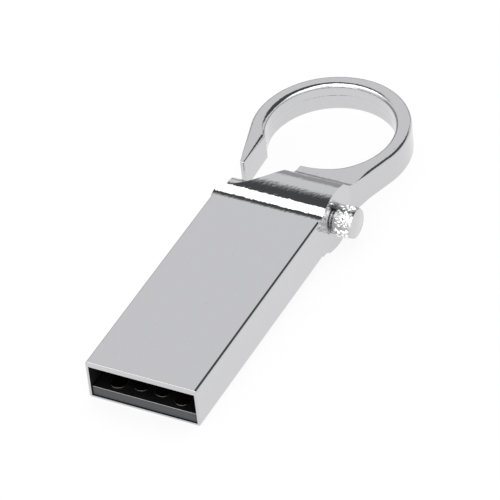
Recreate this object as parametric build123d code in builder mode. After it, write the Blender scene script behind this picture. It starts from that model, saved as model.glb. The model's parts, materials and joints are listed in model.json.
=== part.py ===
from build123d import *
from math import cos, radians, sin, tan
import os

# A capless memory stick.  The flat shell is its own data plug, a cast tail closes the shell's rear end
# and carries a hook ring, and a knurled screw crosses the tail's barrel and shuts the hook's gate.
# Millimetres.  Origin: centre of the plug's mouth.  +Y runs from the mouth to the hook, +X to the knob
# and +Z up, out of the face that the contacts point at.

# ---- driving dimensions ----------------------------------------------------------------------------
# plug shell
plug_width = 12.1
plug_height = 4.5
plug_length = 26.62
top_wall = 0.6
side_wall = 0.3
floor_wall = 0.25
long_edge_round = 0.3
mouth_edge_break = 0.08

# cast tail: barrel, web and hook ring
tail_land = 0.1
crown_rise = 1.0
crown_radius = 5.2
crown_angle = 22.0
shoulder_radius = 0.8
shoulder_slope = 45.0
front_fillet = 1.5
rear_fillet = 1.3
spigot_length = 1.55
ring_behind_barrel = 11.1
ring_inner_radius = 6.6
ring_rim = 1.65
ring_thickness = 3.3
leg_angle = 18.0
hook_inner_face = 5.6
hook_tip_behind_barrel = 2.85
gate_radius = 6.55
gate_left_of_axis = 6.6
gate_behind_barrel = 4.4
ring_edge_round = 0.2

# gate screw, metric 3 mm with a 0.5 mm pitch
screw_diameter = 3.0
screw_pitch = 0.5
thread_depth = 0.27
thread_length = 4.5
thread_crest = 0.08
nose_length = 0.7
nose_overhang = 6.5
knob_radius = 1.72
knob_length = 2.0
knob_gap = 0.25
knob_edge_break = 0.12
knurl_count = 22
knurl_depth = 0.13
tenon_radius = 0.9
tenon_length = 1.2

# memory module
module_width = 11.3
module_setback = 0.15
substrate_thickness = 0.25
mould_thickness = 0.75
glue_thickness = 0.07
glue_margin = 0.9
pad_width = 1.6
pad_thickness = 0.04
outer_pad_x = 3.5
inner_pad_x = 1.15
outer_pad_length = 7.4
inner_pad_length = 6.5
outer_pad_setback = 0.55
inner_pad_setback = 1.0
controller_size = (3.4, 3.2, 0.2)
flash_size = (9.6, 8.2, 0.14)
flash_step = 0.45
capacitor_size = (1.0, 0.5, 0.4)
resistor_size = (0.6, 0.3, 0.23)
plug_depth = 12.6
flash_y = 15.6
controller_spot = (-2.6, 6.4)
capacitor_spots = [(2.2, 5.4), (2.2, 6.9), (4.3, 5.4), (4.3, 6.9)]
resistor_spots = [(-4.9, 3.4), (-3.9, 3.4), (0.6, 3.4)]
lead_in = 0.3

# ---- named clearances ------------------------------------------------------------------------------
screw_clearance = 0.04
spigot_clearance = 0.03
module_end_gap = 0.12
block_clearance = 0.05
tenon_clearance = 0.0

# ---- derived places --------------------------------------------------------------------------------
half_width = plug_width / 2
half_height = plug_height / 2
floor_z = -half_height + floor_wall
roof_z = half_height - top_wall
cavity_width = plug_width - 2 * side_wall
cavity_height = roof_z - floor_z
half_ring = ring_thickness / 2
ring_outer_radius = ring_inner_radius + ring_rim
bore_radius = screw_diameter / 2 + screw_clearance

mould_z = floor_z + glue_thickness
substrate_z = mould_z + mould_thickness
contact_z = substrate_z + substrate_thickness
spigot_front_y = plug_length - spigot_length
module_length = spigot_front_y - module_end_gap - module_setback
module_middle_y = module_setback + module_length / 2

os.makedirs("parts", exist_ok=True)


def save(piece, name):
    """Label a finished piece and write it to its own file."""
    piece.part.label = name
    export_step(piece.part, f"parts/{name}.step")


# ---- plug shell: a rectangular tube, open at the mouth and at the rear -----------------------------
with BuildPart() as plug_shell:
    with BuildSketch(Plane.XZ):
        Rectangle(plug_width, plug_height)
    extrude(amount=-plug_length)
    fillet(plug_shell.edges().filter_by(Axis.Y), long_edge_round)
    fillet(plug_shell.faces().sort_by(Axis.Y)[0].edges(), mouth_edge_break)
    with BuildSketch(Plane.XZ.offset(1)):
        with Locations((0, (roof_z + floor_z) / 2)):
            Rectangle(cavity_width, cavity_height)
    extrude(amount=-plug_length - 2, mode=Mode.SUBTRACT)
save(plug_shell, "plug_shell")


# ---- cast tail -------------------------------------------------------------------------------------
def slope_point(radius, degrees):
    """From an arc's centre to its point where the surface slopes by so many degrees: (along, up)."""
    return radius * sin(radians(degrees)), radius * cos(radians(degrees))


def barrel_run(face_height, fillet_radius):
    """How far from the screw's axis the barrel's fillet ends on a flat face, and where its ramp starts."""
    crown_along, crown_up = slope_point(crown_radius - shoulder_radius, crown_angle)
    shoulder_along, shoulder_up = slope_point(shoulder_radius, shoulder_slope)
    fillet_along, fillet_up = slope_point(fillet_radius, shoulder_slope)
    shoulder_height = crown_height - crown_radius + crown_up + shoulder_up
    drop = shoulder_height - face_height - (fillet_radius - fillet_up)
    ramp_start = crown_along + shoulder_along
    return ramp_start + drop / tan(radians(shoulder_slope)) + fillet_along, ramp_start, shoulder_height, drop


crown_height = half_height + crown_rise
front_run, front_ramp, shoulder_height, front_drop = barrel_run(half_height, front_fillet)
rear_run, rear_ramp, shoulder_height, rear_drop = barrel_run(half_ring, rear_fillet)
axis_y = plug_length + tail_land + front_run
rear_y = axis_y + rear_run
ring_y = axis_y + ring_behind_barrel
tip_y = axis_y + hook_tip_behind_barrel

leg_x = ring_outer_radius * cos(radians(leg_angle))
leg_y = ring_y - ring_outer_radius * sin(radians(leg_angle))
leg_foot_y = leg_y - (leg_x - half_width) / tan(radians(leg_angle))

# plan view: the shell's sides run into two slanting legs that are tangent to the ring
with BuildSketch() as tail_plan:
    with BuildLine():
        Polyline((-leg_x, leg_y), (-half_width, leg_foot_y), (-half_width, plug_length),
                 (half_width, plug_length), (half_width, leg_foot_y), (leg_x, leg_y))
        ThreePointArc((leg_x, leg_y), (0, ring_y + ring_outer_radius), (-leg_x, leg_y))
    make_face()

# plan view of the gate, the hollow that a key ring goes in by
with BuildSketch() as gate_plan:
    with Locations((-gate_left_of_axis, axis_y + gate_behind_barrel)):
        Circle(gate_radius)

# plan view of the slab: behind the screw's axis, round the ring's eye, out to the hook's wedge-shaped tip
with BuildSketch() as slab_plan:
    add(tail_plan.sketch)
    with Locations((0, axis_y)):
        Rectangle(plug_width, plug_length, align=(Align.CENTER, Align.MAX), mode=Mode.SUBTRACT)
    with Locations((0, ring_y)):
        Circle(ring_inner_radius, mode=Mode.SUBTRACT)
    with BuildSketch(mode=Mode.SUBTRACT):
        add(gate_plan.sketch)
        with Locations((-hook_inner_face, tip_y)):
            Rectangle(plug_width, plug_width, align=(Align.MAX, Align.MIN), mode=Mode.SUBTRACT)

# the slab's edges are all softened, apart from the front ones, which end up inside the barrel
with BuildPart() as slab:
    extrude(slab_plan.sketch, amount=half_ring, both=True)
    slab_edges = [edge for face in slab.faces().filter_by(Axis.Z) for edge in face.edges()
                  if edge.center().Y > axis_y + ring_edge_round]
    fillet(slab_edges, ring_edge_round)

with BuildPart() as hook_tail:
    # side view of the barrel with its four concave fillets, drawn for the upper half and mirrored
    with BuildSketch(Plane.YZ.offset(-ring_outer_radius)):
        with BuildLine():
            drop_run = 1 / tan(radians(shoulder_slope))
            crown_along, crown_up = slope_point(crown_radius, crown_angle)
            crown_edge = crown_height - crown_radius + crown_up
            front_foot = (axis_y - front_ramp - front_drop * drop_run, shoulder_height - front_drop)
            rear_foot = (axis_y + rear_ramp + rear_drop * drop_run, shoulder_height - rear_drop)
            Polyline((axis_y - front_run, half_height), (plug_length, half_height), (plug_length, 0),
                     (rear_y, 0), (rear_y, half_ring))
            RadiusArc((axis_y - front_run, half_height), front_foot, -front_fillet)
            Line(front_foot, (axis_y - front_ramp, shoulder_height))
            RadiusArc((axis_y - front_ramp, shoulder_height), (axis_y - crown_along, crown_edge),
                      shoulder_radius)
            RadiusArc((axis_y - crown_along, crown_edge), (axis_y + crown_along, crown_edge), crown_radius)
            RadiusArc((axis_y + crown_along, crown_edge), (axis_y + rear_ramp, shoulder_height),
                      shoulder_radius)
            Line((axis_y + rear_ramp, shoulder_height), rear_foot)
            RadiusArc(rear_foot, (rear_y, half_ring), -rear_fillet)
        make_face()
        mirror(about=Plane.XZ)
    extrude(amount=2 * ring_outer_radius)
    extrude(tail_plan.sketch, amount=plug_height, both=True, mode=Mode.INTERSECT)
    extrude(gate_plan.sketch, amount=plug_height, both=True, mode=Mode.SUBTRACT)
    add(slab.part)
    # the spigot that closes the shell's rear end, and the screw's bore across the barrel
    with BuildSketch(Plane.XZ.offset(-plug_length)):
        with Locations((0, (roof_z + floor_z) / 2)):
            Rectangle(cavity_width - 2 * spigot_clearance, cavity_height - 2 * spigot_clearance)
    extrude(amount=spigot_length)
    with BuildSketch(Plane.YZ.offset(-half_width)):
        with Locations((axis_y, 0)):
            Circle(bore_radius)
    extrude(amount=plug_width, mode=Mode.SUBTRACT)
save(hook_tail, "hook_tail")


# ---- gate screw and its knob -----------------------------------------------------------------------
shank_radius = screw_diameter / 2
knob_x = half_width + knob_gap
nose_x = -nose_overhang
thread_end_x = half_width - knob_gap
thread_start_x = thread_end_x - thread_length
thread_turns = int(thread_length / screw_pitch)
groove_half = (screw_pitch - thread_crest) / 2
nose_dome_radius = (shank_radius**2 + nose_length**2) / (2 * nose_length)

# the shank is turned about +X: a domed nose, a plain stem, then ring grooves that stand for the thread
with BuildPart() as gate_screw:
    with BuildSketch():
        with BuildLine():
            Polyline((nose_x, axis_y), (knob_x + tenon_length, axis_y),
                     (knob_x + tenon_length, axis_y + tenon_radius), (knob_x, axis_y + tenon_radius),
                     (knob_x, axis_y + shank_radius), (nose_x + nose_length, axis_y + shank_radius))
            RadiusArc((nose_x + nose_length, axis_y + shank_radius), (nose_x, axis_y), -nose_dome_radius)
        make_face()
        for turn in range(thread_turns):
            groove_x = thread_start_x + (turn + 0.5) * screw_pitch
            with BuildLine():
                Polyline((groove_x - groove_half, axis_y + shank_radius),
                         (groove_x, axis_y + shank_radius - thread_depth),
                         (groove_x + groove_half, axis_y + shank_radius), close=True)
            make_face(mode=Mode.SUBTRACT)
    revolve(axis=Axis((0, axis_y, 0), (1, 0, 0)))
save(gate_screw, "gate_screw")

# the knob: a short drum with straight knurling, a plain rim at each end and a blind hole for the tenon
with BuildPart() as knurled_knob:
    with BuildSketch(Plane.YZ.offset(knob_x)):
        with Locations((axis_y, 0)):
            Circle(knob_radius)
    extrude(amount=knob_length)
    chamfer(knurled_knob.edges().filter_by(GeomType.CIRCLE), knob_edge_break)
    with BuildSketch(Plane.YZ.offset(knob_x + 2 * knob_edge_break)):
        with Locations((axis_y, 0)):
            with PolarLocations(knob_radius, knurl_count):
                RegularPolygon(knurl_depth, 4, rotation=0)
    extrude(amount=knob_length - 4 * knob_edge_break, mode=Mode.SUBTRACT)
    with BuildSketch(Plane.YZ.offset(knob_x)):
        with Locations((axis_y, 0)):
            Circle(tenon_radius + tenon_clearance)
    extrude(amount=tenon_length, mode=Mode.SUBTRACT)
save(knurled_knob, "knurled_knob")


# ---- memory module ---------------------------------------------------------------------------------
def flash_place(level):
    """Centre of a flash die's lower face; level 0 is on the board, each later one is stepped back."""
    return 0, flash_y + level * flash_step, substrate_z - (level + 1) * flash_size[2]


controller_place = (controller_spot[0], controller_spot[1], substrate_z - controller_size[2])


def small_block(size, place):
    """A plain block of the given size, centred over its place, which is on its lower face."""
    with BuildPart() as block:
        with BuildSketch(Plane.XY.offset(place[2])):
            with Locations(place[:2]):
                Rectangle(size[0], size[1])
        extrude(amount=size[2])
    return block


inner_pieces = {
    "controller_die": small_block(controller_size, controller_place),
    "flash_die_lower": small_block(flash_size, flash_place(1)),
    "flash_die_upper": small_block(flash_size, flash_place(0)),
}
for number, (x, y) in enumerate(capacitor_spots, start=1):
    place = (x, y, substrate_z - capacitor_size[2])
    inner_pieces[f"capacitor_{number}"] = small_block(capacitor_size, place)
for number, (x, y) in enumerate(resistor_spots, start=1):
    place = (x, y, substrate_z - resistor_size[2])
    inner_pieces[f"resistor_{number}"] = small_block(resistor_size, place)
for name, piece in inner_pieces.items():
    save(piece, name)

# the black compound moulded round the dies
with BuildPart() as module_mould:
    with BuildSketch(Plane.XY.offset(mould_z)):
        with Locations((0, module_middle_y)):
            Rectangle(module_width, module_length)
    extrude(amount=mould_thickness)
    for piece in inner_pieces.values():
        add(piece.part, mode=Mode.SUBTRACT)
save(module_mould, "module_mould")

# the circuit board that faces the plug's open side
with BuildPart() as module_substrate:
    with BuildSketch(Plane.XY.offset(substrate_z)):
        with Locations((0, module_middle_y)):
            Rectangle(module_width, module_length)
    extrude(amount=substrate_thickness)
save(module_substrate, "module_substrate")

# four gold pads with round front ends; the two outer ones reach nearer to the mouth
contacts = {
    "contact_supply": (-outer_pad_x, outer_pad_setback, outer_pad_length),
    "contact_data_minus": (-inner_pad_x, inner_pad_setback, inner_pad_length),
    "contact_data_plus": (inner_pad_x, inner_pad_setback, inner_pad_length),
    "contact_ground": (outer_pad_x, outer_pad_setback, outer_pad_length),
}
for name, (pad_x, pad_setback, pad_length) in contacts.items():
    with BuildPart() as contact:
        with BuildSketch(Plane.XY.offset(contact_z)):
            with Locations((pad_x, module_setback + pad_setback + pad_length / 2)):
                SlotOverall(pad_length, pad_width, rotation=90)
        extrude(amount=pad_thickness)
    save(contact, name)

# the adhesive film that holds the module on the shell's floor
with BuildPart() as glue_film:
    with BuildSketch(Plane.XY.offset(floor_z)):
        with Locations((0, module_middle_y)):
            Rectangle(module_width - 2 * glue_margin, module_length - 2 * glue_margin)
    extrude(amount=glue_thickness)
save(glue_film, "glue_film")

# the plastic block that fills the shell behind the plug's depth and holds the module down
with BuildPart() as filler_block:
    with BuildSketch(Plane.XZ.offset(-plug_depth)):
        with Locations((0, (contact_z + roof_z) / 2)):
            Rectangle(cavity_width - 2 * block_clearance, roof_z - contact_z)
    extrude(amount=-(spigot_front_y - plug_depth))
    with BuildSketch(Plane.XY.offset(contact_z)):
        with Locations((0, (plug_depth + spigot_front_y) / 2)):
            Rectangle(cavity_width / 2, (spigot_front_y - plug_depth) / 2)
    extrude(amount=(roof_z - contact_z) / 2, mode=Mode.SUBTRACT)
    chamfer(filler_block.faces().sort_by(Axis.Y)[0].edges().sort_by(Axis.Z)[-1], lead_in)
save(filler_block, "filler_block")
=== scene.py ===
# %% [markdown]
# # A capless memory stick with a hook ring
# The stick is a chromed tube that is its own data plug, closed by a cast tail with a hook ring. A knurled
# screw crosses the tail and shuts the hook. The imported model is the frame: every piece below is built on
# its sizes and rides on its bodies, so the looks and the moving model stay in one place.

# %% Load the frame
import json
from math import atan2, cos, pi, radians, sin
import bmesh
import bpy
from mathutils import Matrix, Vector


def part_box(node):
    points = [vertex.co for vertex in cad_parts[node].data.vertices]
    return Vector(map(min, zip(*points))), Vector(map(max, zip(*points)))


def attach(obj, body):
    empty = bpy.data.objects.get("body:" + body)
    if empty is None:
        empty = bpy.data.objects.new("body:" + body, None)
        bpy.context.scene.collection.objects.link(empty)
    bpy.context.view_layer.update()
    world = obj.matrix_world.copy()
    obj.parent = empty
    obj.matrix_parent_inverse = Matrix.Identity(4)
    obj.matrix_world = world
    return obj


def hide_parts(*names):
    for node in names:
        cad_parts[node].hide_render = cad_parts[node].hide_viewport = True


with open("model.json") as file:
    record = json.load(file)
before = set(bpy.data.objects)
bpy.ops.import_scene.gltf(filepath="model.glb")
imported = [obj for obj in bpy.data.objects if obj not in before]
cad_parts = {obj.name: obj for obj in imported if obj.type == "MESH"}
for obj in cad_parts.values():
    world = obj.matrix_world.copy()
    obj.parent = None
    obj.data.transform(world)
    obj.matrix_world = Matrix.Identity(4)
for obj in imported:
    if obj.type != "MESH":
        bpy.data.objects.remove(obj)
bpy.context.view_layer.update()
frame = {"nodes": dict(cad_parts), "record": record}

MM = 0.001

# %% [markdown]
# ## Camera
# Small shiny goods are shot with a long lens, because a short one would make the near end look swollen.
# The camera stands well above the table, to the right of the mouth, and leans a little. Its own matrix is
# built from those three angles, which is easier to correct than a rotation read off the screen.

# %% Camera
aim = Vector((0.00009, 0.02268, 0.0))
azimuth, elevation, lean = radians(31.35), radians(40.06), radians(-6.95)
back = Vector((sin(azimuth) * cos(elevation), -cos(azimuth) * cos(elevation), sin(elevation)))
level_right = (-back).cross(Vector((0, 0, 1))).normalized()
level_up = level_right.cross(-back)
right = level_right * cos(lean) + level_up * sin(lean)
camera_data = bpy.data.cameras.new("studio_camera")
camera_data.lens = 375.65
camera_data.sensor_width = 36
camera = bpy.data.objects.new("studio_camera", camera_data)
turn = Matrix((right, right.cross(-back), back)).transposed().to_4x4()
camera.matrix_world = Matrix.Translation(aim + back * 0.514) @ turn
bpy.context.scene.collection.objects.link(camera)
bpy.context.scene.camera = camera
bpy.context.scene.view_settings.view_transform = "Standard"
print("camera at", [round(c, 4) for c in camera.location])

# %% [markdown]
# ## Studio
# Bright chrome has no colour of its own: it shows the room. The room is a white table and pale walls,
# a dark ceiling panel behind the stick, a soft light in front of that panel, low grey cards at the left
# and the rear, and a small front light. The dark panel gives the dark bands on the barrel and the thin
# dark lines on the edges, the lights give the white bands, and the grey cards soften the outlines.

# %% Material helper
def new_material(name):
    """A material with only a Principled shader, returned with its node tree and that shader."""
    material = bpy.data.materials.new(name)
    material.use_nodes = True
    tree = material.node_tree
    tree.nodes.clear()
    output = tree.nodes.new("ShaderNodeOutputMaterial")
    shader = tree.nodes.new("ShaderNodeBsdfPrincipled")
    tree.links.new(shader.outputs["BSDF"], output.inputs["Surface"])
    return material, tree, shader


# %% Glow helper
def glow_material(name, colour, strength, edge=None):
    """A glowing surface for a studio panel, which may fade to a paler edge in one direction."""
    material = bpy.data.materials.new(name)
    material.use_nodes = True
    tree = material.node_tree
    tree.nodes.clear()
    output = tree.nodes.new("ShaderNodeOutputMaterial")
    glow = tree.nodes.new("ShaderNodeEmission")
    glow.inputs["Color"].default_value = (*colour, 1)
    glow.inputs["Strength"].default_value = strength
    if edge:
        along, start, end, paler = edge
        place = tree.nodes.new("ShaderNodeTexCoord")
        reach = tree.nodes.new("ShaderNodeVectorMath")
        reach.operation = "DOT_PRODUCT"
        reach.inputs[1].default_value = along
        fade = tree.nodes.new("ShaderNodeMapRange")
        fade.interpolation_type = "SMOOTHSTEP"
        fade.inputs["From Min"].default_value = start
        fade.inputs["From Max"].default_value = end
        mix = tree.nodes.new("ShaderNodeMix")
        mix.data_type = "RGBA"
        mix.inputs["A"].default_value = (*colour, 1)
        mix.inputs["B"].default_value = (*paler, 1)
        tree.links.new(place.outputs["Object"], reach.inputs[0])
        tree.links.new(reach.outputs["Value"], fade.inputs["Value"])
        tree.links.new(fade.outputs["Result"], mix.inputs["Factor"])
        tree.links.new(mix.outputs["Result"], glow.inputs["Color"])
    tree.links.new(glow.outputs["Emission"], output.inputs["Surface"])
    return material


# %% Mesh helper
def mesh_object(name, vertices, faces):
    """A mesh object from plain lists, linked to the scene."""
    mesh = bpy.data.meshes.new(name)
    mesh.from_pydata(vertices, [], faces)
    made = bpy.data.objects.new(name, mesh)
    bpy.context.scene.collection.objects.link(made)
    return made


# %% [markdown]
# ## Table
# The barrel is thicker than the tube, so the stick rests on the tube's mouth and the barrel's belly, and
# the table under it tilts a little in the stick's own frame. It glows softly, which keeps it white and
# leaves only a faint shadow.

# %% Table
shell_low, shell_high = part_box("plug_shell")
tail_low, tail_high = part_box("hook_tail")
screw_low, screw_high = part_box("gate_screw")
axis_y = (screw_low.y + screw_high.y) / 2
fall = (tail_low.z - shell_low.z) / axis_y
table_half = 3.0
gap = 0.01 * MM
corners = [(x, y, shell_low.z - gap + fall * y) for x, y in
           ((-table_half, -table_half), (table_half, -table_half), (table_half, table_half),
            (-table_half, table_half))]
table = mesh_object("table", corners, [(0, 1, 2, 3)])
table_material, tree, shader = new_material("white_table")
shader.inputs["Base Color"].default_value = (0.20, 0.20, 0.20, 1)
shader.inputs["Roughness"].default_value = 1.0
shader.inputs["Specular IOR Level"].default_value = 0.0
shader.inputs["Emission Color"].default_value = (1, 1, 1, 1)
shader.inputs["Emission Strength"].default_value = 0.84
table.data.materials.append(table_material)
print("the table falls", round(fall * 100, 2), "mm in 100 mm under the stick")

# %% [markdown]
# ## Walls, panels and light
# Only the chrome sees the panels. A real studio hangs such cards round shiny goods for the same reason:
# a dark card draws a crisp dark line along a rounded edge, and a light one draws a white streak.

# %% Walls
world = bpy.data.worlds.new("pale_room")
world.use_nodes = True
world.node_tree.nodes["Background"].inputs["Color"].default_value = (0.90, 0.90, 0.915, 1)
world.node_tree.nodes["Background"].inputs["Strength"].default_value = 1.0
bpy.context.scene.world = world


# %% Panel helper
def studio_panel(name, outline, colour, strength, edge=None):
    """A flat panel with these corners in metres, that only the chrome sees."""
    panel = mesh_object(name, outline, [tuple(range(len(outline)))])
    panel.data.materials.append(glow_material(name + "_paint", colour, strength, edge))
    panel.visible_camera = False
    panel.visible_diffuse = False
    panel.visible_shadow = False
    return panel


def level_outline(points, height):
    """The corners of a level panel at one height."""
    return [(x, y, height) for x, y in points]


# %% Panels
studio_panel("dark_ceiling", level_outline([(-1.1, 0.02), (-1.1, 0.45), (-0.55, 0.74), (-0.15, 1.10),
                                            (0.1, 1.9), (1.9, 1.9), (1.9, 0.9), (0.5, 0.02)], 1.0),
             (0.085, 0.09, 0.095), 1.0, edge=((-1.2, 1.0, 0.0), 0.95, 1.5, (0.6, 0.6, 0.6)))
studio_panel("soft_light", level_outline([(-1.3, -1.2), (-1.3, 0.02), (0.5, 0.02), (1.9, 0.5),
                                          (1.9, -1.2)], 1.0),
             (1.0, 1.0, 1.0), 2.2)
studio_panel("grey_skirting", [(-2.9, -1.0, -0.2), (-2.9, -1.0, 1.1), (-2.9, 2.9, 1.1), (-2.9, 2.9, -0.2)],
             (0.33, 0.33, 0.34), 1.0)
studio_panel("grey_skirting_rear", [(-2.9, 2.9, -0.2), (-2.9, 2.9, 1.1), (0.6, 2.9, 1.1), (0.6, 2.9, -0.2)],
             (0.45, 0.45, 0.46), 1.0)
studio_panel("front_light", [(-0.7, -2.0, 0.15), (-0.7, -2.0, 1.25), (0.85, -2.0, 1.25), (0.85, -2.0, 0.15)],
             (1.0, 1.0, 1.0), 1.7)

# %% [markdown]
# ## Finishes shared by several pieces
# Three effects come back in every plated material: a slow waviness left by casting and polishing, fine
# hairline scratches, and small specks of dust and pitting. Each could be copied into every material, but
# a node group is built once and placed with its own values, so a change reaches them all.

# %% Group helper
def new_group(name, inputs, outputs):
    """A shader node group with float inputs and outputs, returned with its input and output nodes."""
    group = bpy.data.node_groups.new(name, "ShaderNodeTree")
    for socket, value in inputs:
        made = group.interface.new_socket(socket, in_out="INPUT", socket_type="NodeSocketFloat")
        made.default_value = value
    for socket in outputs:
        group.interface.new_socket(socket, in_out="OUTPUT", socket_type="NodeSocketFloat")
    return group, group.nodes.new("NodeGroupInput"), group.nodes.new("NodeGroupOutput")


# %% Node helpers
def add_math(tree, operation, first, second):
    """A math node whose inputs are sockets or numbers; returns its output."""
    node = tree.nodes.new("ShaderNodeMath")
    node.operation = operation
    for place, value in enumerate((first, second)):
        if isinstance(value, (int, float)):
            node.inputs[place].default_value = value
        else:
            tree.links.new(value, node.inputs[place])
    return node.outputs[0]


def add_noise(tree, vector, scale, detail, roughness=0.5):
    """A noise texture; scale may be a socket or a number; returns its value output."""
    node = tree.nodes.new("ShaderNodeTexNoise")
    tree.links.new(vector, node.inputs["Vector"])
    if isinstance(scale, (int, float)):
        node.inputs["Scale"].default_value = scale
    else:
        tree.links.new(scale, node.inputs["Scale"])
    node.inputs["Detail"].default_value = detail
    node.inputs["Roughness"].default_value = roughness
    return node.outputs[0]


def add_mapping(tree, scale, turn=(0, 0, 0)):
    """Object coordinates, stretched and turned; returns the vector output."""
    place = tree.nodes.new("ShaderNodeTexCoord")
    mapping = tree.nodes.new("ShaderNodeMapping")
    mapping.inputs["Scale"].default_value = scale
    mapping.inputs["Rotation"].default_value = turn
    tree.links.new(place.outputs["Object"], mapping.inputs["Vector"])
    return mapping.outputs["Vector"]


# %% Waviness
waviness, given, put = new_group("casting_waviness", [("Per metre", 120.0), ("Fine per metre", 3500.0),
                                                      ("Fine share", 0.3)], ["Height"])
place = add_mapping(waviness, (1, 1, 1))
slow = add_noise(waviness, place, given.outputs["Per metre"], 2)
fine = add_noise(waviness, place, given.outputs["Fine per metre"], 2)
fine = add_math(waviness, "MULTIPLY", fine, given.outputs["Fine share"])
waviness.links.new(add_math(waviness, "ADD", slow, fine), put.inputs["Height"])

# %% Scratches
line_width = 0.006
scratches, given, put = new_group("hairline_scratches", [("Per metre", 900.0), ("Share", 0.35)], ["Mask"])
strokes = []
for turn_angle in (0.5, 2.1):
    stretched = add_mapping(scratches, (1, 0.03, 1), (0, 0, turn_angle))
    line = add_noise(scratches, stretched, given.outputs["Per metre"], 1)
    line = add_math(scratches, "ABSOLUTE", add_math(scratches, "SUBTRACT", line, 0.5), 0)
    strokes.append(add_math(scratches, "LESS_THAN", line, line_width))
place = add_mapping(scratches, (1, 1, 1))
patch = add_math(scratches, "LESS_THAN", add_noise(scratches, place, 90.0, 1), given.outputs["Share"])
both = add_math(scratches, "MAXIMUM", strokes[0], strokes[1])
scratches.links.new(add_math(scratches, "MULTIPLY", both, patch), put.inputs["Mask"])

# %% Specks
specks, given, put = new_group("specks", [("Per metre", 2500.0), ("Share", 0.28)], ["Mask"])
place = add_mapping(specks, (1, 1, 1))
dots = add_noise(specks, place, given.outputs["Per metre"], 1)
specks.links.new(add_math(specks, "LESS_THAN", dots, given.outputs["Share"]), put.inputs["Mask"])
print("groups", [g.name for g in bpy.data.node_groups])


# %% Material helpers
def add_group(tree, group, **values):
    """Place a node group and set its inputs; returns its first output."""
    node = tree.nodes.new("ShaderNodeGroup")
    node.node_tree = group
    for name, value in values.items():
        node.inputs[name.replace("_", " ")].default_value = value
    return node.outputs[0]


def blend_colour(tree, factor, first, second):
    """A colour mix driven by a mask."""
    node = tree.nodes.new("ShaderNodeMix")
    node.data_type = "RGBA"
    tree.links.new(factor, node.inputs["Factor"])
    node.inputs["A"].default_value = (*first, 1)
    node.inputs["B"].default_value = (*second, 1)
    return node.outputs["Result"]


def add_bump(tree, shader, height, distance, strength=1.0):
    """A bump of the given height in metres on a shader's normal."""
    node = tree.nodes.new("ShaderNodeBump")
    node.inputs["Distance"].default_value = distance
    node.inputs["Strength"].default_value = strength
    tree.links.new(height, node.inputs["Height"])
    tree.links.new(node.outputs["Normal"], shader.inputs["Normal"])


def spread(tree, value, low, high):
    """Stretch a 0 to 1 value to a range."""
    node = tree.nodes.new("ShaderNodeMapRange")
    tree.links.new(value, node.inputs["Value"])
    node.inputs["To Min"].default_value = low
    node.inputs["To Max"].default_value = high
    return node.outputs["Result"]


# %% [markdown]
# ## Chrome
# Chrome plating reflects about six tenths of the light and is slightly cool. A bare mirror would look
# like a drawing, so waviness bends its reflections. The tube is polished flatter than the casting, so the
# casting gets more waviness and a finer ripple on its bands.

# %% Chrome recipe
def chrome(name, tint, roughness, wave_per_metre, fine_per_metre, fine_share, wave_height):
    """A plated metal with its own waviness, scratches and specks."""
    material, tree, shader = new_material(name)
    shader.inputs["Metallic"].default_value = 1.0
    dust = add_group(tree, specks, Per_metre=3200.0, Share=0.235)
    dim = tuple(0.9 * c for c in tint)
    tree.links.new(blend_colour(tree, dust, tint, dim), shader.inputs["Base Color"])
    hair = add_group(tree, scratches, Per_metre=1100.0, Share=0.36)
    wave = add_group(tree, waviness, Per_metre=wave_per_metre, Fine_per_metre=fine_per_metre,
                     Fine_share=fine_share)
    rough = spread(tree, wave, roughness * 0.7, roughness * 1.4)
    rough = add_math(tree, "ADD", rough, add_math(tree, "MULTIPLY", hair, 0.04))
    tree.links.new(rough, shader.inputs["Roughness"])
    add_bump(tree, shader, wave, wave_height)
    return material


# %% The three chromes
shell_chrome = chrome("shell_chrome", (0.600, 0.600, 0.615), 0.05, 70.0, 1200.0, 0.01, 0.00002)
tail_chrome = chrome("tail_chrome", (0.600, 0.600, 0.610), 0.06, 160.0, 3300.0, 0.25, 0.000065)
screw_chrome = chrome("screw_chrome", (0.62, 0.62, 0.625), 0.09, 900.0, 5000.0, 0.30, 0.00003)
print("chromes", shell_chrome.name, tail_chrome.name, screw_chrome.name)

# %% [markdown]
# The tube's inside is bare steel with no light in it. Its nearly black dull metal is painted shade for that
# dark inside; with drawing marks along the tube, it keeps the mouth deep without hiding the module.

# %% Inside of the tube
tube_inside, tree, shader = new_material("tube_inside")
shader.inputs["Metallic"].default_value = 0.6
shader.inputs["Roughness"].default_value = 0.55
grain = add_noise(tree, add_mapping(tree, (1, 0.1, 1)), 1500.0, 3)
# painted shade: near-black colour for the unlit inside of the tube
tree.links.new(blend_colour(tree, grain, (0.035, 0.035, 0.036), (0.016, 0.016, 0.017)),
               shader.inputs["Base Color"])
print("inside", tube_inside.name)


# %% [markdown]
# ## Tube and tail
# Their shapes are already exact in the frame, but a mirror finish shows every facet. Subdividing would
# swell the flats, so each is copied instead, its doubled points are merged and its flat faces joined, and
# weighted normals then run smoothly over the rounds and stay true on the flats.

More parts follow.
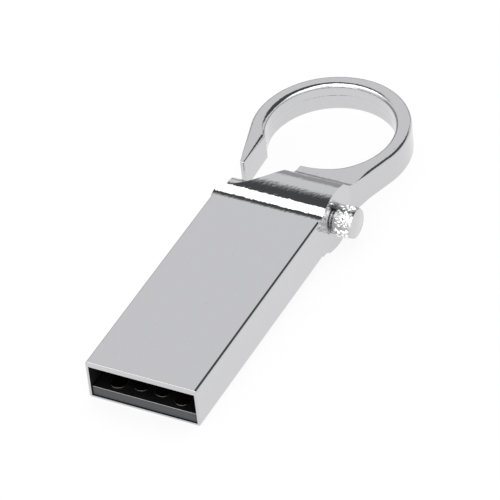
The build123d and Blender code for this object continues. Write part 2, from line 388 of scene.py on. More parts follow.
# %% Polished copies
def polished_copy(node, name, body, materials, crease=radians(28)):
    """A copy of a node with merged points and weighted normals, standing for that node."""
    made = bpy.data.objects.new(name, frame["nodes"][node].data.copy())
    bpy.context.scene.collection.objects.link(made)
    made.data.materials.clear()
    for material in materials:
        made.data.materials.append(material)
    work = bmesh.new()
    work.from_mesh(made.data)
    bmesh.ops.remove_doubles(work, verts=work.verts, dist=1e-7)
    bmesh.ops.dissolve_limit(work, angle_limit=radians(0.05), verts=work.verts, edges=work.edges)
    for face in work.faces:
        face.smooth = True
        face.material_index = 0
    work.to_mesh(made.data)
    work.free()
    if "custom_normal" in made.data.attributes:
        made.data.attributes.remove(made.data.attributes["custom_normal"])
    made.data.set_sharp_from_angle(angle=crease)
    weigh = made.modifiers.new("weigh", "WEIGHTED_NORMAL")
    weigh.mode = "FACE_AREA"
    weigh.keep_sharp = True
    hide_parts(node)
    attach(made, body)
    print(name, len(made.data.polygons), "faces")
    return made


# %% Tube and barrel
shell = polished_copy("plug_shell", "tube", "stick", [shell_chrome, tube_inside])
barrel = polished_copy("hook_tail", "cast_barrel", "stick", [tail_chrome])
# the tube's inner faces take tube_inside, near-black painted shade
for face in shell.data.polygons:
    inner_x = abs(face.center.x) < shell_high.x - 0.2 * MM
    inner_z = shell_low.z + 0.2 * MM < face.center.z < shell_high.z - 0.5 * MM
    away = face.center.y > 0.2 * MM
    toward = face.normal.x * face.center.x < -0.5 * abs(face.center.x)
    level = abs(face.normal.z) > 0.9
    if away and inner_z and (toward or (level and inner_x)):
        face.material_index = 1
print("inner faces of the tube", sum(face.material_index for face in shell.data.polygons))

# %% [markdown]
# ## Hook ring
# The ring, its two legs and the web between them are one cast slab, rounded over along every edge. The
# rounding is wide round the ring and runs out to nothing where the slab grows out of the barrel and at
# the hook's thin tip. So the slab is lofted here: its plan outline is drawn once, and each next layer
# is the outline moved inwards and up along a quarter circle whose radius changes along the way.

# %% Sizes of the slab
slab_half = 1.65 * MM
ring_radius_out = (tail_high.x - tail_low.x) / 2
ring_radius_in = ring_radius_out - slab_half
ring_y = tail_high.y - ring_radius_out
rear_fillet_end = 3.7974 * MM
seam_y = axis_y + rear_fillet_end
leg_lean = radians(18)
leg_x = ring_radius_out * cos(leg_lean)
leg_y = ring_y - ring_radius_out * sin(leg_lean)
tip_x_out, tip_x_in = shell_low.x, -5.6 * MM
tip_y = axis_y + 2.85 * MM
gate_x, gate_y, gate_radius = -6.6 * MM, axis_y + 4.4 * MM, 6.55 * MM
gate_meet_x = -0.05 * MM
eye_round, left_round, right_round, seam_round = 0.50 * MM, 0.50 * MM, 0.32 * MM, 0.004 * MM
tip_round = 0.15 * MM
print("ring", round(ring_radius_in / MM, 2), "to", round(ring_radius_out / MM, 2), "mm radius")


# %% Plan outline
def along_line(start, end, spacing=0.22 * MM):
    """Evenly spaced points from start up to but without end."""
    start, end = Vector(start), Vector(end)
    count = max(1, round((end - start).length / spacing))
    return [start.lerp(end, step / count) for step in range(count)]


def along_arc(centre, radius, start, end, spacing=0.22 * MM):
    """Evenly spaced points on an arc between two angles, without the last."""
    count = max(1, round(abs(end - start) * radius / spacing))
    return [Vector((centre[0] + radius * cos(start + (end - start) * step / count),
                    centre[1] + radius * sin(start + (end - start) * step / count)))
            for step in range(count)]


def leg_foot(y):
    """Where the right leg's outer line is at a height of the plan."""
    return leg_x - (leg_y - y) * sin(leg_lean) / cos(leg_lean)


inner_meet = ring_y - (ring_radius_in ** 2 - tip_x_in ** 2) ** 0.5
taper = atan2(leg_x + tip_x_out, leg_y - tip_y)
outer_corner = Vector((tip_x_out + tip_round * (1 - sin(taper)) / cos(taper), tip_y + tip_round))
inner_corner = Vector((tip_x_in - tip_round, tip_y + tip_round))
gate_meet = Vector((gate_meet_x, ring_y - ring_radius_in))
gate_end = Vector((gate_x + (gate_radius ** 2 - (seam_y - gate_y) ** 2) ** 0.5, seam_y))
outline = (
    along_line((leg_foot(seam_y), seam_y), (leg_x, leg_y))
    + along_arc((0, ring_y), ring_radius_out, -leg_lean, pi + leg_lean)
    + along_line((-leg_x, leg_y), outer_corner + tip_round * Vector((-cos(taper), -sin(taper))), 0.15 * MM)
    + along_arc(outer_corner, tip_round, pi + taper, 1.5 * pi, 0.03 * MM)
    + along_line(outer_corner - Vector((0, tip_round)), inner_corner - Vector((0, tip_round)), 0.06 * MM)
    + along_arc(inner_corner, tip_round, -pi / 2, 0, 0.03 * MM)
    + along_line(inner_corner + Vector((tip_round, 0)), (tip_x_in, inner_meet), 0.15 * MM)
    + along_arc((0, ring_y), ring_radius_in, pi + radians(31.95), -pi / 2 - radians(0.4))
    + along_line(gate_meet, gate_end, 0.1 * MM)
    + along_line(gate_end, (leg_foot(seam_y), seam_y), 0.4 * MM))
print("outline points", len(outline))


# %% Loft the slab
def smooth_step(value):
    value = min(1.0, max(0.0, value))
    return value * value * (3 - 2 * value)


def round_radius(point):
    """The edge radius at a point of the outline: wider round the eye than outside."""
    from_eye = (point - Vector((0, ring_y))).length
    outside = left_round + (right_round - left_round) * smooth_step(point.x / (6 * MM) + 0.5)
    wide = eye_round if from_eye < ring_radius_in + 0.4 * MM else outside
    from_seam = smooth_step((point.y - seam_y) / (2.2 * MM)) if point.x > tip_x_in + MM else 1.0
    near_tip = 1.0
    if point.x < tip_x_in + 0.5 * MM:
        near_tip = 0.26 + 0.74 * smooth_step((point.y - tip_y) / (6.5 * MM))
    return max(seam_round, wide * from_seam * near_tip)


def loft_slab(name, outline, half, steps=7):
    """The outline swept into a slab with rounded edges above and below."""
    count = len(outline)
    inward = []
    for place in range(count):
        before, here, after = outline[place - 1], outline[place], outline[(place + 1) % count]
        first = (here - before).normalized()
        second = (after - here).normalized()
        across = Vector((-first.y - second.y, first.x + second.x))
        bend = max(0.35, (1 + first.dot(second)) / 2) ** 0.5
        inward.append(across.normalized() / bend)
    radii = [round_radius(point) for point in outline]
    layers = []
    for step in range(steps + 1):
        angle = pi / 2 * step / steps
        layers.append([(point + way * radius * (1 - cos(angle)), half - radius + radius * sin(angle))
                       for point, way, radius in zip(outline, inward, radii)])
    vertices, faces = [], []
    for layer in layers:
        vertices += [(p.x, p.y, z) for p, z in layer]
    for layer in layers:
        vertices += [(p.x, p.y, -z) for p, z in layer]
    below = count * len(layers)
    for place in range(count):
        after = (place + 1) % count
        faces.append((below + place, below + after, after, place))
        for layer in range(steps):
            low, high = layer * count, (layer + 1) * count
            faces.append((low + place, low + after, high + after, high + place))
            faces.append((below + high + place, below + high + after, below + low + after,
                          below + low + place))
    top = steps * count
    faces.append(tuple(range(top, top + count)))
    faces.append(tuple(reversed(range(below + top, below + top + count))))
    made = mesh_object(name, vertices, faces)
    work = bmesh.new()
    work.from_mesh(made.data)
    for face in work.faces:
        face.smooth = True
    bmesh.ops.triangulate(work, faces=[face for face in work.faces if len(face.verts) > 4])
    work.to_mesh(made.data)
    work.free()
    return made


# %% Hook ring
hook_ring = loft_slab("hook_ring", outline, slab_half)
hook_ring.data.materials.append(tail_chrome)
hook_ring.data.set_sharp_from_angle(angle=radians(28))
weigh = hook_ring.modifiers.new("weigh", "WEIGHTED_NORMAL")
weigh.mode = "FACE_AREA"
weigh.keep_sharp = True
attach(hook_ring, "stick")
print("hook ring", len(hook_ring.data.polygons), "faces")

# %% [markdown]
# The two halves of the casting mould met half way up the eye's wall and left a low, wide ridge there.
# It follows the wall's arc, so it is an arc with a round profile swept along it by Geometry Nodes, sunk
# so deep in the ring that only its crest stands out.

# %% Parting ridge tree
def ridge_tree():
    """A low ridge swept along an arc about the Z axis."""
    tree = bpy.data.node_groups.new("parting_ridge", "GeometryNodeTree")
    for name, kind in (("Centre", "Vector"), ("Arc radius", "Float"), ("Start angle", "Float"),
                       ("Sweep", "Float"), ("Points", "Int"), ("Ridge radius", "Float"),
                       ("Finish", "Material")):
        tree.interface.new_socket(name, in_out="INPUT", socket_type="NodeSocket" + kind)
    tree.interface.new_socket("Ridge", in_out="OUTPUT", socket_type="NodeSocketGeometry")
    given = tree.nodes.new("NodeGroupInput").outputs
    link = tree.links.new
    arc = tree.nodes.new("GeometryNodeCurveArc")
    link(given["Points"], arc.inputs["Resolution"])
    link(given["Arc radius"], arc.inputs["Radius"])
    link(given["Start angle"], arc.inputs["Start Angle"])
    link(given["Sweep"], arc.inputs["Sweep Angle"])
    profile = tree.nodes.new("GeometryNodeCurvePrimitiveCircle")
    profile.inputs["Resolution"].default_value = 64
    link(given["Ridge radius"], profile.inputs["Radius"])
    sweep = tree.nodes.new("GeometryNodeCurveToMesh")
    link(arc.outputs["Curve"], sweep.inputs["Curve"])
    link(profile.outputs["Curve"], sweep.inputs["Profile Curve"])
    sweep.inputs["Fill Caps"].default_value = True
    put_there = tree.nodes.new("GeometryNodeTransform")
    link(sweep.outputs["Mesh"], put_there.inputs["Geometry"])
    link(given["Centre"], put_there.inputs["Translation"])
    smooth = tree.nodes.new("GeometryNodeSetShadeSmooth")
    link(put_there.outputs["Geometry"], smooth.inputs["Geometry"])
    real = tree.nodes.new("GeometryNodeRealizeInstances")
    link(smooth.outputs[0], real.inputs[0])
    finish = tree.nodes.new("GeometryNodeSetMaterial")
    link(real.outputs[0], finish.inputs["Geometry"])
    link(given["Finish"], finish.inputs["Material"])
    output = tree.nodes.new("NodeGroupOutput")
    link(finish.outputs[0], output.inputs["Ridge"])
    return tree


# %% Grow helper
def grow(name, tree, values):
    """Run a node tree with these inputs and keep the result as a plain mesh object."""
    host = mesh_object(name + "_host", [], [])
    modifier = host.modifiers.new("grow", "NODES")
    modifier.node_group = tree
    sockets = {s.name: s.identifier for s in tree.interface.items_tree if s.in_out == "INPUT"}
    for socket, value in values.items():
        modifier[sockets[socket]] = value
    bpy.context.view_layer.update()
    evaluated = host.evaluated_get(bpy.context.evaluated_depsgraph_get())
    mesh = bpy.data.meshes.new_from_object(evaluated)
    mesh.name = name
    made = bpy.data.objects.new(name, mesh)
    bpy.context.scene.collection.objects.link(made)
    bpy.data.objects.remove(host)
    print(name, len(mesh.polygons), "faces")
    return made


# %% Parting ridge
ridge_radius, ridge_crest, ridge_height = 0.80 * MM, 0.035 * MM, 0.10 * MM
ridge = grow("parting_ridge", ridge_tree(), {
    "Centre": (0.0, ring_y, ridge_height), "Arc radius": ring_radius_in + ridge_radius - ridge_crest,
    "Start angle": radians(-55), "Sweep": radians(262), "Points": 160, "Ridge radius": ridge_radius,
    "Finish": tail_chrome})
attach(ridge, "stick")

# %% [markdown]
# ## Barrel
# The lofted slab replaces the tail's own ring, so the barrel's copy is cut where the slab starts, the
# hook's tip is taken off and the cut is closed. The gate's edges and the rim of the left end were worn
# round by polishing, and a narrow bevel gives them that, because a sharp edge catches no light.

# %% Cut the slab away from the barrel's copy
seam_clear, gate_round, rim_round = 0.3 * MM, 0.16 * MM, 0.15 * MM
work = bmesh.new()
work.from_mesh(barrel.data)
everything = work.verts[:] + work.edges[:] + work.faces[:]
bmesh.ops.bisect_plane(work, geom=everything, plane_co=(0, seam_y, 0), plane_no=(0, 1, 0), clear_outer=True)
tip_points = [v for v in work.verts if v.co.x < -5 * MM and v.co.y > axis_y]
bmesh.ops.delete(work, geom=tip_points, context="VERTS")
bmesh.ops.triangle_fill(work, edges=[edge for edge in work.edges if edge.is_boundary], use_beauty=True)
bmesh.ops.recalc_face_normals(work, faces=work.faces)


# %% Round the gate's edges
def on_gate_wall(face):
    """Whether a face belongs to the round wall of the gate."""
    middle = face.calc_center_median()
    away = Vector((middle.x - gate_x, middle.y - gate_y))
    return abs(away.length - gate_radius) < 0.04 * MM and abs(face.normal.z) < 0.1 \
        and abs(face.normal.x * away.y - face.normal.y * away.x) < 0.1 * away.length


gate_edges = [edge for edge in work.edges if len(edge.link_faces) == 2
              and on_gate_wall(edge.link_faces[0]) != on_gate_wall(edge.link_faces[1])
              and edge.calc_face_angle(0) > radians(40)
              and max(point.co.y for point in edge.verts) < seam_y - seam_clear]
bmesh.ops.bevel(work, geom=gate_edges, offset=gate_round, segments=4, affect="EDGES", profile=0.5,
                clamp_overlap=True)


# %% Round the left rim
def at_left_end(edge):
    """Whether an edge is on the upper rim of the barrel's left end face."""
    if len(edge.link_faces) != 2 or min(point.co.z for point in edge.verts) < 0.3 * MM:
        return False
    if max(point.co.x for point in edge.verts) > shell_low.x + 0.02 * MM:
        return False
    return max(abs(face.normal.x) for face in edge.link_faces) > 0.95 \
        and min(abs(face.normal.x) for face in edge.link_faces) < 0.4


left_rim = [edge for edge in work.edges if at_left_end(edge)]
bmesh.ops.bevel(work, geom=left_rim, offset=rim_round, segments=4, affect="EDGES", profile=0.5,
                clamp_overlap=True)
for face in work.faces:
    face.smooth = True
work.to_mesh(barrel.data)
work.free()
barrel.data.set_sharp_from_angle(angle=radians(28))
print("gate edges rounded", len(gate_edges), "left rim edges", len(left_rim))
print("barrel", len(barrel.data.polygons), "faces")

# %% [markdown]
# ## Knob
# The knob is a short turned drum with worn, uneven diamond knurling. The drum is a profile turned about
# the screw's axis, with the hole that the screw's end is pressed into. The knurling is one four-sided
# tooth, repeated in staggered rows round the drum with a little stray in place, size and lean, which is a
# job for Geometry Nodes: a bump map would leave the drum's outline smooth.

# %% Knob finish
def plated_knurl(name, axis, valley, crest):
    """Bright plating, darker low down between the teeth as painted shade in the valleys, with random mottle.
    """
    material, tree, shader = new_material(name)
    shader.inputs["Metallic"].default_value = 1.0
    mapping = tree.nodes.new("ShaderNodeMapping")
    place = tree.nodes.new("ShaderNodeTexCoord")
    mapping.inputs["Location"].default_value = (0, -axis, 0)
    mapping.inputs["Scale"].default_value = (0, 1, 1)
    tree.links.new(place.outputs["Object"], mapping.inputs["Vector"])
    length = tree.nodes.new("ShaderNodeVectorMath")
    length.operation = "LENGTH"
    tree.links.new(mapping.outputs["Vector"], length.inputs[0])
    # painted shade: the colour darkens nearer the axis, so the valleys between the teeth and all below the
    # drum's radius are painted dark
    depth = tree.nodes.new("ShaderNodeMapRange")
    depth.inputs["From Min"].default_value = valley
    depth.inputs["From Max"].default_value = crest
    tree.links.new(length.outputs["Value"], depth.inputs["Value"])
    cloud = add_group(tree, waviness, Per_metre=1500.0, Fine_per_metre=4500.0, Fine_share=0.5)
    valley_shade_and_mottle = add_math(tree, "ADD", depth.outputs["Result"], add_math(tree, "MULTIPLY", cloud, 0.35))
    valley_shade_and_mottle.node.use_clamp = True
    tree.links.new(blend_colour(tree, valley_shade_and_mottle, (0.48, 0.48, 0.48), (0.94, 0.94, 0.94)),
                   shader.inputs["Base Color"])
    tree.links.new(spread(tree, valley_shade_and_mottle, 0.30, 0.12), shader.inputs["Roughness"])
    add_bump(tree, shader, cloud, 0.00009)
    return material


# %% Knob sizes
knob_low, knob_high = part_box("knurled_knob")
knob_radius = (knob_high.z - knob_low.z) / 2
tooth_height, spread_round, spread_along, worn = 0.17 * MM, 1.25, 1.15, 0.94
drum_radius = knob_radius - tooth_height
# knob_chrome paints shade at and below the drum's radius
knob_chrome = plated_knurl("knob_chrome", axis_y, drum_radius, drum_radius + 0.30 * tooth_height)
rim_break = 0.10 * MM
tenon_radius, tenon_length = 0.9 * MM, 1.2 * MM


# %% Turning helper
def turned(name, profile, steps=96):
    """A closed profile of (x, radius) points turned about the screw's axis."""
    vertices, faces = [], []
    for x, radius in profile:
        for step in range(steps):
            angle = 2 * pi * step / steps
            vertices.append((x, axis_y + radius * cos(angle), radius * sin(angle)))
    for ring in range(len(profile) - 1):
        for step in range(steps):
            after = (step + 1) % steps
            faces.append((ring * steps + step, ring * steps + after, (ring + 1) * steps + after,
                          (ring + 1) * steps + step))
    made = mesh_object(name, vertices, faces)
    work = bmesh.new()
    work.from_mesh(made.data)
    bmesh.ops.remove_doubles(work, verts=work.verts, dist=1e-8)
    bmesh.ops.recalc_face_normals(work, faces=work.faces)
    for face in work.faces:
        face.smooth = True
    work.to_mesh(made.data)
    work.free()
    made.data.set_sharp_from_angle(angle=radians(30))
    return made


# %% Knob drum
drum = turned("knob_drum", [
    (knob_low.x + tenon_length, 0), (knob_low.x + tenon_length, tenon_radius), (knob_low.x, tenon_radius),
    (knob_low.x, drum_radius - rim_break), (knob_low.x + 0.3 * rim_break, drum_radius - 0.3 * rim_break),
    (knob_low.x + rim_break, drum_radius), (knob_high.x - rim_break, drum_radius),
    (knob_high.x - 0.3 * rim_break, drum_radius - 0.3 * rim_break),
    (knob_high.x, drum_radius - rim_break), (knob_high.x, 0)])
drum.data.materials.append(screw_chrome)
drum.data.materials.append(knob_chrome)
# the drum's outer face takes knob_chrome, whose painted shade darkens it between the teeth
for face in drum.data.polygons:
    outward = Vector((0, face.center.y - axis_y, face.center.z)).length > drum_radius - 0.02 * MM
    if outward and abs(face.normal.x) < 0.3:
        face.material_index = 1
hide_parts("knurled_knob")
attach(drum, "screw_knob")
print("drum", len(drum.data.polygons), "faces")


# %% Knurling tree
def knurling_tree():
    """Teeth in staggered rows round the X axis, with named sizes and a fixed seed."""
    tree = bpy.data.node_groups.new("diamond_knurling", "GeometryNodeTree")
    for name, kind in (("Teeth around", "Int"), ("Rows", "Int"), ("First row", "Float"),
                       ("Row spacing", "Float"), ("Axis", "Float"), ("Drum radius", "Float"),
                       ("Tooth radius", "Float"), ("Tooth length", "Float"), ("Tooth height", "Float"),
                       ("Unevenness", "Float"), ("Seed", "Int"), ("Finish", "Material")):
        tree.interface.new_socket(name, in_out="INPUT", socket_type="NodeSocket" + kind)
    tree.interface.new_socket("Teeth", in_out="OUTPUT", socket_type="NodeSocketGeometry")
    given = tree.nodes.new("NodeGroupInput").outputs
    link = tree.links.new

    def math(operation, first, second=0.0):
        return add_math(tree, operation, first, second)

    index = tree.nodes.new("GeometryNodeInputIndex").outputs[0]
    row = math("FLOOR", math("DIVIDE", index, given["Teeth around"]))
    stagger = math("MULTIPLY", math("MODULO", row, 2.0), 0.5)
    drift = tree.nodes.new("FunctionNodeRandomValue")
    drift.data_type = "FLOAT_VECTOR"
    drift.inputs[0].default_value = (-0.5, -0.5, -0.5)
    drift.inputs[1].default_value = (0.5, 0.5, 0.5)
    link(given["Seed"], drift.inputs["Seed"])
    strayed = tree.nodes.new("ShaderNodeVectorMath")
    strayed.operation = "SCALE"
    link(drift.outputs[0], strayed.inputs[0])
    link(given["Unevenness"], strayed.inputs["Scale"])
    stray = tree.nodes.new("ShaderNodeSeparateXYZ")
    link(strayed.outputs[0], stray.inputs[0])
    step = math("ADD", math("ADD", math("MODULO", index, given["Teeth around"]), stagger), stray.outputs[1])
    angle = math("MULTIPLY", math("DIVIDE", step, given["Teeth around"]), 2 * pi)
    place = tree.nodes.new("ShaderNodeCombineXYZ")
    along = math("ADD", row, math("MULTIPLY", stray.outputs[0], 0.5))
    link(math("ADD", given["First row"], math("MULTIPLY", along, given["Row spacing"])), place.inputs["X"])
    link(math("ADD", given["Axis"], math("MULTIPLY", given["Drum radius"], math("COSINE", angle))),
         place.inputs["Y"])
    link(math("MULTIPLY", given["Drum radius"], math("SINE", angle)), place.inputs["Z"])
    points = tree.nodes.new("GeometryNodePoints")
    link(math("MULTIPLY", given["Teeth around"], given["Rows"]), points.inputs["Count"])
    link(place.outputs[0], points.inputs["Position"])

    tooth = tree.nodes.new("GeometryNodeMeshCone")
    tooth.inputs["Vertices"].default_value = 4
    link(given["Tooth radius"], tooth.inputs["Radius Bottom"])
    link(math("MULTIPLY", given["Tooth radius"], 0.42), tooth.inputs["Radius Top"])
    link(math("MULTIPLY", given["Tooth height"], 2.0), tooth.inputs["Depth"])
    sink = tree.nodes.new("GeometryNodeTransform")
    down = tree.nodes.new("ShaderNodeCombineXYZ")
    link(math("MULTIPLY", given["Tooth height"], -1.0), down.inputs["Z"])
    link(tooth.outputs["Mesh"], sink.inputs["Geometry"])
    link(down.outputs[0], sink.inputs["Translation"])

    turn = tree.nodes.new("ShaderNodeCombineXYZ")
    link(math("SUBTRACT", angle, pi / 2), turn.inputs["X"])
    link(math("MULTIPLY", stray.outputs[2], 0.7), turn.inputs["Y"])
    link(math("MULTIPLY", stray.outputs[0], 0.7), turn.inputs["Z"])
    uneven = tree.nodes.new("FunctionNodeRandomValue")
    uneven.data_type = "FLOAT"
    link(math("SUBTRACT", 1.0, given["Unevenness"]), uneven.inputs[2])
    uneven.inputs[3].default_value = 1.0
    link(given["Seed"], uneven.inputs["Seed"])
    size = tree.nodes.new("ShaderNodeCombineXYZ")
    link(math("DIVIDE", given["Tooth length"], given["Tooth radius"]), size.inputs["X"])
    link(uneven.outputs[1], size.inputs["Y"])
    link(uneven.outputs[1], size.inputs["Z"])

    repeat = tree.nodes.new("GeometryNodeInstanceOnPoints")
    link(points.outputs[0], repeat.inputs["Points"])
    link(sink.outputs["Geometry"], repeat.inputs["Instance"])
    link(turn.outputs[0], repeat.inputs["Rotation"])
    link(size.outputs[0], repeat.inputs["Scale"])
    real = tree.nodes.new("GeometryNodeRealizeInstances")
    link(repeat.outputs[0], real.inputs[0])
    finish = tree.nodes.new("GeometryNodeSetMaterial")
    link(real.outputs[0], finish.inputs["Geometry"])
    link(given["Finish"], finish.inputs["Material"])
    output = tree.nodes.new("NodeGroupOutput")
    link(finish.outputs[0], output.inputs["Teeth"])
    return tree


# %% Knurling
rows, teeth_around = 5, 14
row_spacing = (knob_high.x - knob_low.x - 2 * rim_break) / (rows + 1)
knurling = grow("knob_knurling", knurling_tree(), {
    "Teeth around": teeth_around, "Rows": rows, "First row": knob_low.x + rim_break + 0.85 * row_spacing,
    "Row spacing": row_spacing, "Axis": axis_y, "Drum radius": drum_radius,
    "Tooth radius": spread_round * pi * drum_radius / teeth_around,
    "Tooth length": spread_along * row_spacing,
    "Tooth height": worn * tooth_height, "Unevenness": 0.6, "Seed": 7, "Finish": knob_chrome})
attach(knurling, "screw_knob")

# %% [markdown]
# ## Screw
# The screw is one turned piece: a domed nose, a plain stem, nine thread grooves, a narrow neck beside
# the knob and the end that is pressed into it. Its half section is turned about the same axis.

# %% Screw
shank_radius = 1.5 * MM
nose_x, nose_length = screw_low.x, 0.7 * MM
pitch, groove_depth = 0.5 * MM, 0.27 * MM
thread_end = shell_high.x - 0.13 * MM
thread_start = thread_end - 9 * pitch
section = [(nose_x, 0.0)]
dome = (shank_radius ** 2 + nose_length ** 2) / (2 * nose_length)
for step in range(1, 13):
    rise = shank_radius * step / 12
    section.append((nose_x + dome - (dome ** 2 - rise ** 2) ** 0.5, rise))
for groove in range(9):
    middle = thread_start + (groove + 0.5) * pitch
    section += [(middle - 0.42 * pitch, shank_radius), (middle, shank_radius - groove_depth),
                (middle + 0.42 * pitch, shank_radius)]
neck_radius = 1.2 * MM
section += [(thread_end + 0.16 * MM, shank_radius), (thread_end + 0.24 * MM, neck_radius),
            (knob_low.x - 0.02 * MM, neck_radius), (knob_low.x - 0.02 * MM, tenon_radius - 0.01 * MM),
            (screw_high.x - 0.01 * MM, tenon_radius - 0.01 * MM), (screw_high.x - 0.01 * MM, 0.0)]
screw = turned("screw", section)
screw.data.materials.append(screw_chrome)
screw.data.materials.append(knob_chrome)
# the neck and the pressed-in end take knob_chrome; below the drum's radius they get its darkest painted
# shade, a painted shadow in the gap beside the knob
for face in screw.data.polygons:
    if thread_end + 0.2 * MM < face.center.x:
        face.material_index = 1
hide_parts("gate_screw")
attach(screw, "screw_shank")
print("screw", len(screw.data.polygons), "faces, nose", round((shell_low.x - nose_x) / MM, 2),
      "mm past the barrel")

# %% [markdown]
# ## Memory module
# The module is a thin black board, moulded over on its underside, with four gold pads near the mouth.
# Nearly all of it hides in the dark tube, so the exact pieces keep their shapes and only get finishes,
# each with the grain, mottle or rub marks that its material has.

# %% Solder mask and mould compound
solder_mask, tree, shader = new_material("black_solder_mask")
mottle = add_noise(tree, add_mapping(tree, (1, 1, 1)), 900.0, 3)
tree.links.new(blend_colour(tree, mottle, (0.006, 0.006, 0.007), (0.014, 0.014, 0.015)),
               shader.inputs["Base Color"])
tree.links.new(spread(tree, mottle, 0.25, 0.45), shader.inputs["Roughness"])
add_bump(tree, shader, mottle, 0.000004)

mould_black, tree, shader = new_material("mould_grain")
grain = add_noise(tree, add_mapping(tree, (1, 1, 1)), 9000.0, 4, 0.6)
tree.links.new(blend_colour(tree, grain, (0.062, 0.064, 0.066), (0.092, 0.094, 0.098)),
               shader.inputs["Base Color"])
tree.links.new(spread(tree, grain, 0.5, 0.8), shader.inputs["Roughness"])
add_bump(tree, shader, grain, 0.00001)

# %% Gold and the pads' sides
pad_gold, tree, shader = new_material("pad_gold")
shader.inputs["Metallic"].default_value = 1.0
rub = add_noise(tree, add_mapping(tree, (6, 0.4, 1)), 500.0, 3)
tree.links.new(blend_colour(tree, rub, (0.64, 0.48, 0.26), (0.76, 0.60, 0.36)),
               shader.inputs["Base Color"])
tree.links.new(spread(tree, rub, 0.08, 0.16), shader.inputs["Roughness"])

pad_side, tree, shader = new_material("pad_side")
shader.inputs["Metallic"].default_value = 1.0
rub = add_noise(tree, add_mapping(tree, (1, 1, 1)), 2500.0, 3)
tree.links.new(blend_colour(tree, rub, (0.10, 0.09, 0.075), (0.34, 0.30, 0.25)),
               shader.inputs["Base Color"])
tree.links.new(spread(tree, rub, 0.25, 0.4), shader.inputs["Roughness"])

# %% Edges of the board
cut_edge, tree, shader = new_material("board_cut_edge")
fibre = add_noise(tree, add_mapping(tree, (1, 1, 6)), 2600.0, 4, 0.6)
tree.links.new(blend_colour(tree, fibre, (0.056, 0.058, 0.060), (0.086, 0.088, 0.091)),
               shader.inputs["Base Color"])
tree.links.new(spread(tree, fibre, 0.55, 0.8), shader.inputs["Roughness"])
add_bump(tree, shader, fibre, 0.000008)

# painted highlight: a pale colour on the bevel along the board's upper front corner
painted_corner_highlight, tree, shader = new_material("board_painted_corner_highlight")
corner_highlight_mottle = add_noise(tree, add_mapping(tree, (1, 1, 1)), 3500.0, 3)
tree.links.new(blend_colour(tree, corner_highlight_mottle, (0.45, 0.44, 0.42), (0.90, 0.89, 0.87)),
               shader.inputs["Base Color"])
tree.links.new(spread(tree, corner_highlight_mottle, 0.35, 0.55), shader.inputs["Roughness"])

# %% Film, block, chips and small parts
film, tree, shader = new_material("adhesive_film")
cloud = add_noise(tree, add_mapping(tree, (1, 1, 1)), 1200.0, 3)
tree.links.new(blend_colour(tree, cloud, (0.62, 0.60, 0.52), (0.78, 0.76, 0.69)),
               shader.inputs["Base Color"])
tree.links.new(spread(tree, cloud, 0.4, 0.6), shader.inputs["Roughness"])

block_plastic, tree, shader = new_material("moulded_black")
grain = add_noise(tree, add_mapping(tree, (1, 1, 1)), 6000.0, 3)
tree.links.new(blend_colour(tree, grain, (0.012, 0.012, 0.012), (0.026, 0.026, 0.027)),
               shader.inputs["Base Color"])
tree.links.new(spread(tree, grain, 0.4, 0.6), shader.inputs["Roughness"])
add_bump(tree, shader, grain, 0.000008)

bare_die, tree, shader = new_material("bare_die")
shader.inputs["Metallic"].default_value = 0.7
sheen = add_noise(tree, add_mapping(tree, (1, 1, 1)), 500.0, 2)
tree.links.new(blend_colour(tree, sheen, (0.20, 0.21, 0.25), (0.32, 0.33, 0.38)),
               shader.inputs["Base Color"])
tree.links.new(spread(tree, sheen, 0.1, 0.25), shader.inputs["Roughness"])

chip_ceramic, tree, shader = new_material("chip_ceramic")
grain = add_noise(tree, add_mapping(tree, (1, 1, 1)), 8000.0, 3)
tree.links.new(blend_colour(tree, grain, (0.42, 0.31, 0.20), (0.56, 0.44, 0.31)),
               shader.inputs["Base Color"])
tree.links.new(spread(tree, grain, 0.5, 0.7), shader.inputs["Roughness"])

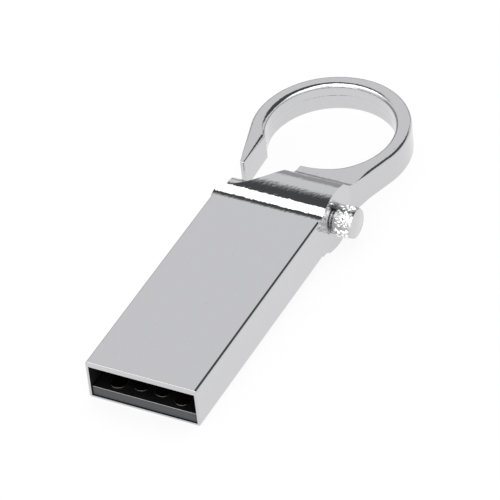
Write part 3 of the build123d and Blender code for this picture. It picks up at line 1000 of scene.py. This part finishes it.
# %% Module pieces
by_slot = {"board_mask": solder_mask, "mould_compound": mould_black, "contact_gold": pad_gold,
           "adhesive": film, "black_plastic": block_plastic, "silicon": bare_die, "ceramic": chip_ceramic}
slots = {part["node"]: part["material_slot"] for part in frame["record"]["subparts"]}
for name, node in frame["nodes"].items():
    if slots[name] in by_slot:
        node.data.materials.clear()
        node.data.materials.append(by_slot[slots[name]])
print("module pieces", sum(slots[name] in by_slot for name in frame["nodes"]))


# %% [markdown]
# The board's cut front edge is paler than its face, and its bevelled upper corner gets a pale painted
# highlight.
# Each gold pad has a slightly rounded rim. Both are copies of the exact piece with narrow bevels, because
# such rims are what catches the light inside the dark mouth.

# %% Rims of the board and the pads
def bevelled_copy(node, name, materials, width, edge_test, bevel_slot=0):
    """A copy of a node whose chosen edges get a narrow bevel, standing for that node."""
    made = polished_copy(node, name, "stick", materials)
    work = bmesh.new()
    work.from_mesh(made.data)
    edges = [edge for edge in work.edges if edge_test(edge)]
    bmesh.ops.bevel(work, geom=edges, offset=width, segments=2, affect="EDGES", profile=0.5,
                    material=bevel_slot, clamp_overlap=True)
    for face in work.faces:
        face.smooth = True
    work.to_mesh(made.data)
    work.free()
    return made


board_low, board_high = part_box("module_substrate")


def front_top(edge):
    """Whether an edge is the upper front corner of the board."""
    middle = (edge.verts[0].co + edge.verts[1].co) / 2
    return middle.z > board_high.z - 0.01 * MM and middle.y < board_low.y + 0.01 * MM


# %% Board
# the front face takes the paler cut-edge colour, the bevelled upper corner the painted highlight
board = bevelled_copy("module_substrate", "board", [solder_mask, cut_edge, painted_corner_highlight],
                      0.055 * MM, front_top, 2)
for face in board.data.polygons:
    if face.normal.y < -0.9:
        face.material_index = 1

# %% Pads
for name in ("contact_supply", "contact_data_minus", "contact_data_plus", "contact_ground"):
    pad_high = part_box(name)[1]

    def pad_rim(edge, top=pad_high.z):
        """Whether an edge runs round the top of this pad."""
        return min(point.co.z for point in edge.verts) > top - 0.001 * MM and len(edge.link_faces) == 2 \
            and edge.calc_face_angle(0) > 0.5

    pad = bevelled_copy(name, name.replace("contact", "pad"), [pad_gold, pad_side],
                        0.02 * MM, pad_rim, 1)
    for face in pad.data.polygons:
        if abs(face.normal.z) < 0.5:
            face.material_index = 1
